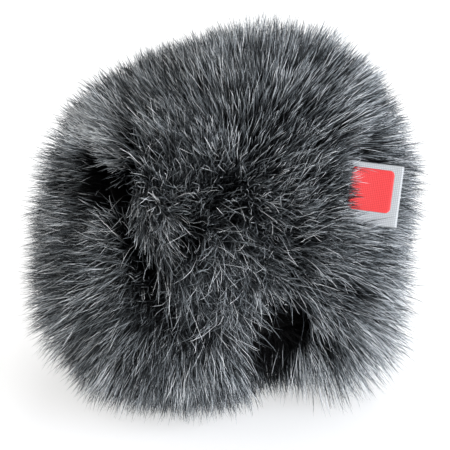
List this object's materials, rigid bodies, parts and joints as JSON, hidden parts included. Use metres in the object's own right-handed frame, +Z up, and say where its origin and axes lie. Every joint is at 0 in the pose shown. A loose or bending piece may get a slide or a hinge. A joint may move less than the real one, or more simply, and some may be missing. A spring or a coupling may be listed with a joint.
{
  "type": "furry windscreen",
  "caption": "Slip-on hood of long-pile fake fur with an elastic slit mouth and a sewn-in label, worn over a hand-held recorder's microphones to cut wind noise.",
  "frame": {"origin": "on the table under the middle of the hood, inside the patch of pile that the table presses flat", "axes": "+Z up; the mouth faces -Y; +X is the right side, with the label, when facing the mouth"},
  "size_m": [0.1156, 0.1235, 0.1146],
  "materials": {
    "fur_pile": "long grey and black fake fur",
    "fur_backing": "knitted backing",
    "lining": "matt black lining",
    "binding": "woven tape",
    "elastic": "flat braided elastic",
    "thread": "sewing thread",
    "label_ribbon": "woven ribbon",
    "label_field": "woven red field"
  },
  "bodies": {
    "hood": {"right_side_pile": "fur_pile", "left_side_pile": "fur_pile", "face_pile": "fur_pile", "crown_pile": "fur_pile", "base_pile": "fur_pile", "right_side_backing": "fur_backing", "left_side_backing": "fur_backing", "face_backing": "fur_backing", "crown_backing": "fur_backing", "base_backing": "fur_backing", "right_side_lining": "lining", "left_side_lining": "lining", "face_lining": "lining", "crown_lining": "lining", "base_lining": "lining", "right_seam_tape": "binding", "left_seam_tape": "binding", "left_bar_tack": "thread", "right_bar_tack": "thread"},
    "upper_lip": {"upper_lip_pile": "fur_pile", "upper_lip_backing": "fur_backing", "upper_lip_lining": "lining", "upper_hem_casing": "binding", "upper_elastic": "elastic", "upper_hem_stitches": "thread"},
    "lower_lip": {"lower_lip_pile": "fur_pile", "lower_lip_backing": "fur_backing", "lower_lip_lining": "lining", "lower_hem_casing": "binding", "lower_elastic": "elastic", "lower_hem_stitches": "thread"},
    "label": {"label_ribbon": "label_ribbon", "label_field": "label_field"}
  },
  "joints": [
    {"name": "upper_lip_open", "type": "hinge", "parent": "hood", "child": "upper_lip", "pos_m": [0, 0, 0.0548], "axis": [-0.809, 0, 0.5878], "range_deg": [0, 16], "stiffness_Nm_per_rad": 0.25},
    {"name": "lower_lip_open", "type": "hinge", "parent": "hood", "child": "lower_lip", "pos_m": [0, 0, 0.0548], "axis": [0.809, 0, -0.5878], "range_deg": [0, 16], "stiffness_Nm_per_rad": 0.25},
    {"name": "label_swing", "type": "hinge", "parent": "hood", "child": "label", "pos_m": [0.03962, -0.01153, 0.07572], "axis": [0.0094, -0.5404, -0.8413], "range_deg": [-12, 30], "stiffness_Nm_per_rad": 0.002}
  ],
  "couplings": [
    {"joint": "lower_lip_open", "follows": "upper_lip_open", "ratio": 1}
  ]
}
